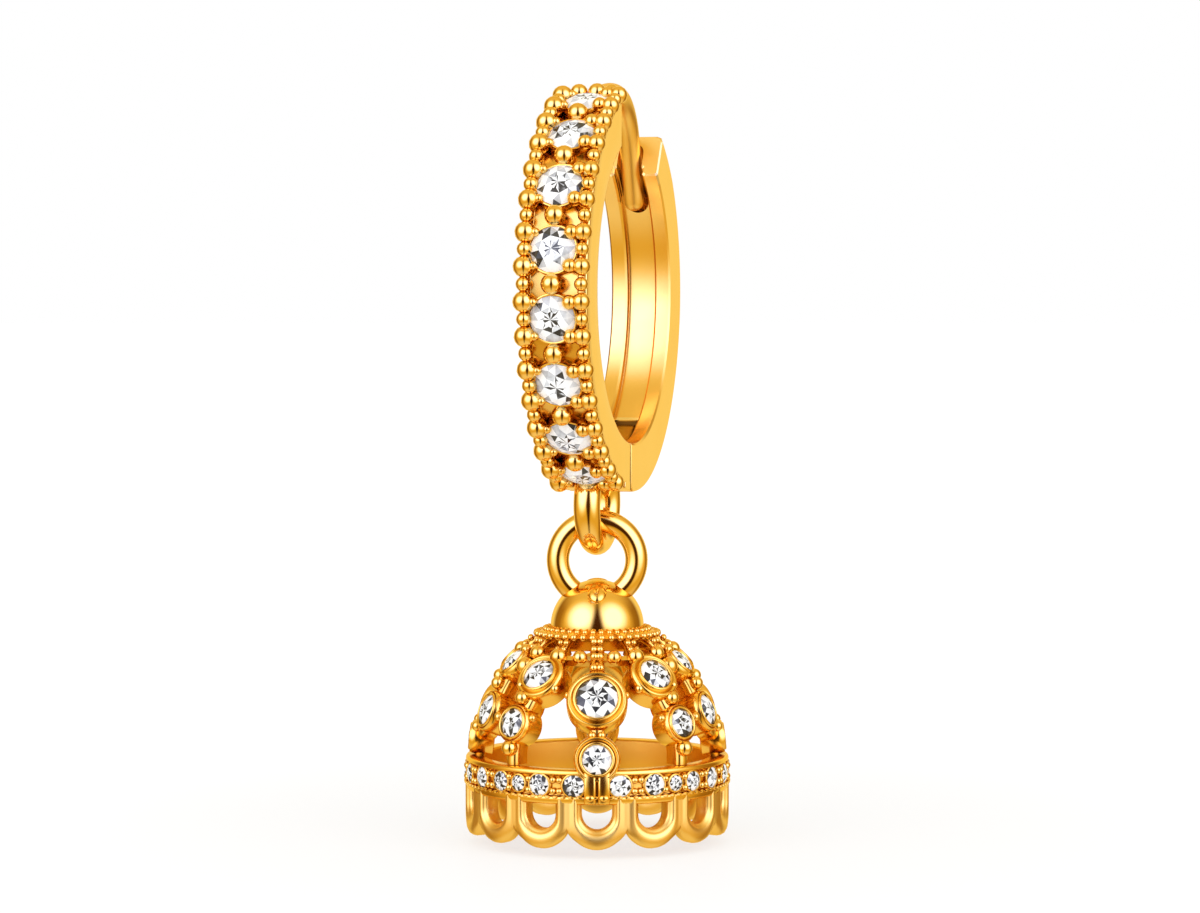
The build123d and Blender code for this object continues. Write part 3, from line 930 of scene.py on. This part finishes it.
# azimuth, rise, size, lift: each row's bead is set in all four quarters
domeBeads = [
    (12.6, 50.6, 0.66, 0.05), (29.5, 50.6, 0.78, 0.05), (51, 51.5, 0.72, 0.05), (70, 52, 0.6, 0.05),
    (90, 51.5, 0.7, 0.05), (15.5, 31, 0.36, 0.0), (2.1, 44.6, 0.36, 0.08), (2.2, 13.4, 0.36, 0.12),
    (41.5, 28.2, 0.62, 0.12), (43.8, 6.3, 0.74, 0.02), (54, 18.8, 0.42, 0.1), (33, 20, 0.34, 0.0),
    (70, 33, 0.62, 0.1), (76, 12.5, 0.5, 0.1), (54, 44, 0.84, 0.0), (46, 34, 0.4, 0.1),
    (24, 34, 0.4, 0.0), (2.4, 54, 0.32, 0.22), (2.6, 58, 0.32, 0.3), (2.0, 50.5, 0.36, 0.14)]
collar = {"beads": 40, "rows": ((60.6, 0.3), (64.6, 0.24)), "lift": 0.3,
          "pairs": 0.27, "pairCount": 12, "pairApart": 2.7, "rises": ((54.0, 0.16), (57.4, 0.24))}
places = [(domeFrame(a, rise, lift), size) for azimuth, rise, size, lift in domeBeads for a in quarters(azimuth)]
for rise, size in collar["rows"]:
    turns = [360 / collar["beads"] * (n + 0.5) for n in range(collar["beads"])]
    places += [(domeFrame(turn, rise, collar["lift"]), size) for turn in turns]
for n in range(collar["pairCount"]):
    for rise, lift in collar["rises"]:
        if n % 6:  # the pairs in front and behind are in the table above
            turns = [360 // collar["pairCount"] * n + way * collar["pairApart"] for way in (-1, 1)]
            places += [(domeFrame(turn, rise, lift), collar["pairs"]) for turn in turns]
bellBeads = scattered("bellBeads", places, bead, polished)


band = {"top": -29.5, "low": -31.0, "inner": 5.0, "outer": 5.88, "groove": 5.7, "upperLip": 0.2, "lowerLip": 0.36,
        "azimuths": [10, 25.5, 36, 46, 60, 75, 90], "radii": [0.47, 0.46, 0.34, 0.42, 0.45, 0.43, 0.43],
        "seat": 5.8, "stoneZ": -30.17, "prong": 0.31, "prongLift": 0.24,
        "grains": 104, "grain": (0.14, 0.08, 0.08)}
# two bars over the middle of the band
bars = {"azimuth": 3.0, "half": 0.265, "height": 0.03, "z": -30.2, "steps": (-0.72, -0.66, 0.0, 0.66, 0.74),
        "blobZ": -30.68, "blob": (0.21, 0.14, 0.1)}


def bandShape():
    inner, outer, groove, top, low = (band[key] for key in ("inner", "outer", "groove", "top", "low"))
    upper, lower = top - band["upperLip"], low + band["lowerLip"]
    profile = [(inner, low, 0.1), (outer - 0.06, low, 0.16), (outer, lower, 0.1),
               (groove, lower + 0.03, 0.03), (groove, upper - 0.03, 0.03),
               (outer - 0.02, upper, 0.05), (outer - 0.04, top, 0.09), (inner, top, 0.1)]
    shape = Shape()
    turned(shape, axisFrame, soften(profile, 3), 128)
    for place, size in bandStones:  # the rim of each seat
        rim = [(size - 0.03, -0.2, 0), (size + 0.1, -0.2, 0), (size + 0.1, 0.02, 0.04), (size + 0.01, 0.05, 0.03)]
        turned(shape, place, soften(rim, 2), 28)
    half = bars["half"]
    for azimuth in (0, 180):
        for way in (-1, 1):
            turn = azimuth + way * bars["azimuth"]
            rows = []
            for up in bars["steps"]:
                height = bars["height"] - (0.05 if abs(up) > 0.7 else 0)
                corners = [(-half, -0.25, 0), (half, -0.25, 0), (half, height, 0.1), (-half, height, 0.1)]
                outline = soften(corners, 3)
                place = bandFrame(turn, outer, bars["z"] + up)
                rows.append([place @ Vector((x, 0, z)) for x, z in outline])
            shape.grid(rows, caps=True)
            ball(shape, bandFrame(turn, outer + 0.02, bars["blobZ"]), bars["blob"], 16, 10)
    piece = shape.make("bellBand", cast, 40)
    # the band's inner wall gets the rougher finish whose darker tone is painted shade
    return refinish(piece, inside, lambda face: hypot(face.center.x, face.center.y - bell["y"] * 0.001) < 0.0052)


def bandFrame(azimuth, radius, z):
    x, out = sideways(azimuth), outward(azimuth)
    turnedFrame = Matrix((x, out.cross(x), out)).transposed().to_4x4()
    return Matrix.Translation(Vector((0, bell["y"], z)) + out * radius) @ turnedFrame


bandStones, prongs = [], []
for azimuth, size in zip(band["azimuths"], band["radii"]):
    for a in sorted(quarters(azimuth)):
        place = bandFrame(a, band["seat"], band["stoneZ"]) @ Matrix.Rotation(a * 0.37, 4, "Z")
        bandStones.append((place, size))
seats = set().union(*(quarters(azimuth) for azimuth in band["azimuths"]))
ordered = sorted(atan2(sin(radians(a)), cos(radians(a))) * 180 / pi for a in seats)
for a, b in zip(ordered, ordered[1:] + [ordered[0] + 360]):
    # none in the wide gap under the bars, a pair in a middling gap and one in a narrow gap
    for lift in (-band["prongLift"], band["prongLift"]):
        for part in () if b - a > 18 else (-1.4, 1.4) if b - a > 13 else (0,):
            prongs.append((bandFrame((a + b) / 2 + part, band["seat"], band["stoneZ"] + lift), band["prong"]))
prongBeads = scattered("bandProngs", prongs, bead, polished)

loops = {"count": 14, "radius": 5.46, "depth": 0.82, "outer": 1.32, "drop": 0.66, "hole": 0.69, "holeDrop": 0.42,
         "meet": 1.225, "steps": 22}


def loopShape():  # one loop at azimuth zero, about the origin with the bell's axis as its Z
    top = band["low"] + 0.25
    inner, outer, steps = [], [], loops["steps"]
    for i in range(5):
        f = i / 5
        inner.append((-loops["hole"], top + (band["low"] - loops["holeDrop"] - top) * f))
        outer.append((-loops["meet"], top + (band["low"] - loops["drop"] - top) * f))
    for i in range(steps + 1):
        a = pi + pi * i / steps
        inner.append((loops["hole"] * cos(a), band["low"] - loops["holeDrop"] + loops["hole"] * sin(a)))
        x = max(-loops["meet"], min(loops["meet"], loops["outer"] * cos(a)))
        outer.append((x, band["low"] - loops["drop"] + loops["outer"] * sin(a)))
    inner += [(-x, z) for x, z in inner[4::-1]]
    outer += [(-x, z) for x, z in outer[4::-1]]
    # across the wall: share of the way from hole to outer edge, and height off the middle surface
    h = loops["depth"] / 2
    section = [(0.0, -h + 0.08), (0.0, h - 0.3), (0.03, h - 0.2), (0.14, h - 0.17), (0.2, h - 0.1),
               (0.3, h - 0.02), (0.48, h), (0.68, h - 0.02), (0.86, h - 0.1), (0.96, h - 0.24),
               (1.0, h - 0.4), (0.98, -h + 0.12), (0.88, -h), (0.12, -h)]
    rows = []
    for (ix, iz), (ox, oz) in zip(inner, outer):
        row = []
        free = min(1.0, max(0.0, (loops["meet"] - abs(ox)) / 0.35))  # 0 where neighbours join, to join flush
        for f, lift in section:
            if f > 0.5 and lift > 0:
                lift = (h - 0.06) + (lift - h + 0.06) * free
            x, z = ix + (ox - ix) * f, iz + (oz - iz) * f
            a, reach = x / loops["radius"], loops["radius"] + lift
            row.append((reach * sin(a), -reach * cos(a), z))
        rows.append(row)
    shape = Shape()
    shape.grid(rows, caps=True)
    return shape.make("bellLoops", loopMetal, 60)


bellLoops = rowAround("bellLoops", loopShape(), loopMetal,
                      loops["count"], radians(bell["turn"]), 2 * pi / loops["count"])

domeStones = []
for azimuth, rise, radius, outer, rim, lift in dome["stones"]:
    for a in leftAndRight(azimuth):
        place = domeFrame(a, rise, rim + lift - 0.1) @ Matrix.Rotation(0.3 + azimuth, 4, "Z")
        domeStones.append((place, radius))
grain = Shape()
spot = (0, -band["outer"] + 0.02, band["low"] + band["lowerLip"] - 0.02)
ball(grain, Matrix.Translation(spot), band["grain"], 8, 5)
bandGrain = rowAround("bandGrain", grain.make("bandGrain", polished), polished,
                      band["grains"], 0.0, 2 * pi / band["grains"])
bellStones = scattered("bellStones", domeStones + bandStones, cutStone, stoneFacetPaint)
sparkle(bellStones, 11)
bellMetal = joined("bellMetal", [crownShape(), solderShape(), domeShape(), bandShape(),
                                 bellLoops, bellBeads, prongBeads, bandGrain])
print("stage: bell")


for piece, body, nodes, slotName in (
    (hoopFront, "front", ["hoop_front"], "gold_plate"),
    (hoopStones, "front", [f"hoop_stone_{n}" for n in range(1, 9)], "clear_stone"),
    (hoopBack, "back", ["hoop_back"], "gold_plate"),
    (bellMetal, "drop", ["bell"], "gold_plate"),
    (bellStones, "drop", [f"bell_stone_{n:02d}" for n in range(1, 23)], "clear_stone"),
):
    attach(piece, body)
    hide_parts(*nodes)
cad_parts["hinge_pin"].data.materials.clear()
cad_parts["hinge_pin"].data.materials.append(wall)
bpy.data.objects.remove(bead)
bpy.data.objects.remove(cutStone)


studio = {"floorZ": -33.35, "floorRadius": 2500, "azimuth": 14.5,
          "distance": 158.0, "aimDrop": 7.4, "aimSide": -0.19, "lens": 106.0}
turn = radians(studio["azimuth"])
facing, across = Vector((sin(turn), -cos(turn), 0)), Vector((cos(turn), sin(turn), 0))
middle = Vector((0, hoop["y"], hoop["z"]))

floorMesh = bpy.data.meshes.new("floor")
wide, height = studio["floorRadius"] * 0.001, studio["floorZ"] * 0.001
floorMesh.from_pydata([(wide * c, wide * s, height) for c, s in circle(64)], [], [list(range(64))])
floor = placed("floor", floorMesh)
floorPaint = bpy.data.materials.new("floorPaint")
wire = emptied(floorPaint)
plain = wire.add("ShaderNodeBsdfPrincipled", {},
                 {"Base Color": (0.84, 0.84, 0.84, 1), "Roughness": 0.5, "Specular IOR Level": 0.2})
bright = wire.add("ShaderNodeEmission", {}, {"Color": (1, 1, 1, 1), "Strength": 1.08})
spot = wire.add("ShaderNodeTexCoord", output="Object")
reach = wire.add("ShaderNodeVectorMath", {"operation": "LENGTH"}, {0: spot}, "Value")
fade = wire.eased(reach, 0.034, 0.056, 0.66, 1.0)  # plain under the earring, bright further out
surface = wire.add("ShaderNodeMixShader", {}, {0: fade, 1: plain, 2: bright})
wire.add("ShaderNodeOutputMaterial", {}, {"Surface": surface})
floorMesh.materials.append(floorPaint)
floor.visible_glossy = False


def softbox(name, azimuth, elevation, distance, width, height, radiance, rim):
    a, e = radians(azimuth + studio["azimuth"]), radians(elevation)
    away = Vector((sin(a) * cos(e), -cos(a) * cos(e), sin(e)))
    data = bpy.data.lights.new(name, "AREA")
    data.shape, data.size, data.size_y = "RECTANGLE", width, height
    data.energy = radiance * pi * width * height
    wire = emptied(data)
    where = wire.add("ShaderNodeNewGeometry", {}, {}, "Parametric")
    fromMiddle = wire.add("ShaderNodeVectorMath", {"operation": "DISTANCE"},
                          {0: where, 1: (0.5, 0.5, 0.0)}, "Value")
    fade = wire.eased(fromMiddle, 0.0, 0.5, 1.0, rim)
    wire.add("ShaderNodeOutputLight", {}, {0: wire.add("ShaderNodeEmission", {}, {"Strength": fade})})
    lamp = placed(name, data)
    lamp.location = middle * 0.001 + away * distance
    lamp.rotation_euler = away.to_track_quat("Z", "Y").to_euler()
    lamp.visible_camera = lamp.visible_glossy = False


softbox("leftBox", -44, 30, 0.42, 0.62, 0.5, 1.6, 0.3)
softbox("rightBox", 44, 30, 0.42, 0.62, 0.5, 1.6, 0.3)
softbox("topBox", 0, 88, 0.45, 0.4, 0.4, 0.9, 0.3)

# What the metal sees: two tall white screens ahead with a dark gap between, warm card at the sides, white behind
tent = {"screen": (1.6, 1.55, 1.75), "screenEdge": (0.98, 0.74, 0.26), "roof": (0.85, 0.6, 0.18),
        "towards": (0.64, 0.66, 0.39), "spread": (0.58, 0.985),
        "gap": (0.15, 0.4), "dark": (0.06, 0.018, 0.002),
        "surround": [(0.0, (1.0, 0.9, 0.56)), (0.1, (1.0, 0.88, 0.54)), (0.2, (0.3, 0.15, 0.02)),
                     (0.35, (0.38, 0.19, 0.02)), (0.5, (0.78, 0.49, 0.09)), (1.0, (0.8, 0.5, 0.07))],
        "core": (2.3, 2.3, 2.9), "below": (0.95, 0.76, 0.4)}
world = bpy.data.worlds.new("studio")
wire = emptied(world)
bpy.context.scene.world = world
direction = wire.add("ShaderNodeTexCoord", output="Generated")


def towards(way):  # how far a reflection points that way
    return wire.add("ShaderNodeVectorMath", {"operation": "DOT_PRODUCT"}, {0: direction, 1: tuple(way)}, "Value")


def size(value):
    return wire.add("ShaderNodeMath", {"operation": "ABSOLUTE"}, {0: value})


toFront, toSide = towards(facing), size(towards(across))
height = wire.add("ShaderNodeSeparateXYZ", {}, {0: direction}, 2)
aside, ahead, above = tent["towards"]
screens = wire.eased(toSide * aside + toFront * ahead + height * above, *tent["spread"], 0.0, 1.0)
gapBetween = wire.eased(toSide + size(height) * 0.25, *tent["gap"], 1.0, 0.0)
gapBetween = gapBetween * wire.eased(toFront, 0.1, 0.5, 0.0, 1.0)
reflected = wire.add("ShaderNodeValToRGB", {"stops": tent["surround"]}, {0: toFront * 0.5 + 0.5})
for share, part in (
    (wire.eased(height, 0.3, 0.95, 0.0, 1.0), "roof"),
    (wire.eased(0.0 - height, 0.5, 0.9, 0.0, 1.0), "below"),
    (wire.eased(screens, 0.0, 0.45, 0.0, 1.0), "screenEdge"),
    (wire.eased(screens, 0.35, 0.95, 0.0, 1.0), "screen"),
    (wire.eased(screens, 0.85, 1.0, 0.0, 1.0), "core"),
    (gapBetween, "dark"),
):
    reflected = wire.mixed(share, reflected, (*tent[part], 1))
glossy = wire.add("ShaderNodeLightPath", {}, {}, "Is Glossy Ray")
diffuse = wire.add("ShaderNodeLightPath", {}, {}, "Is Diffuse Ray")
sky = wire.mixed(diffuse, wire.mixed(glossy, (1.0, 1.0, 1.0, 1), reflected), (0.62, 0.62, 0.62, 1))
wire.add("ShaderNodeOutputWorld", {}, {0: wire.add("ShaderNodeBackground", {}, {"Color": sky, "Strength": 1.0})})

cameraData = bpy.data.cameras.new("camera")
camera = placed("camera", cameraData)
bpy.context.scene.camera = camera
cameraData.lens, cameraData.sensor_width = studio["lens"], 36.0
cameraData.clip_start, cameraData.clip_end = 0.005, 20.0
camera.location = (middle + facing * studio["distance"]) * 0.001
aim = (middle + across * studio["aimSide"] - Vector((0, 0, studio["aimDrop"]))) * 0.001
camera.rotation_euler = (camera.location - aim).to_track_quat("Z", "Y").to_euler()
bpy.context.scene.view_settings.view_transform = "Standard"
print("stage: studio")
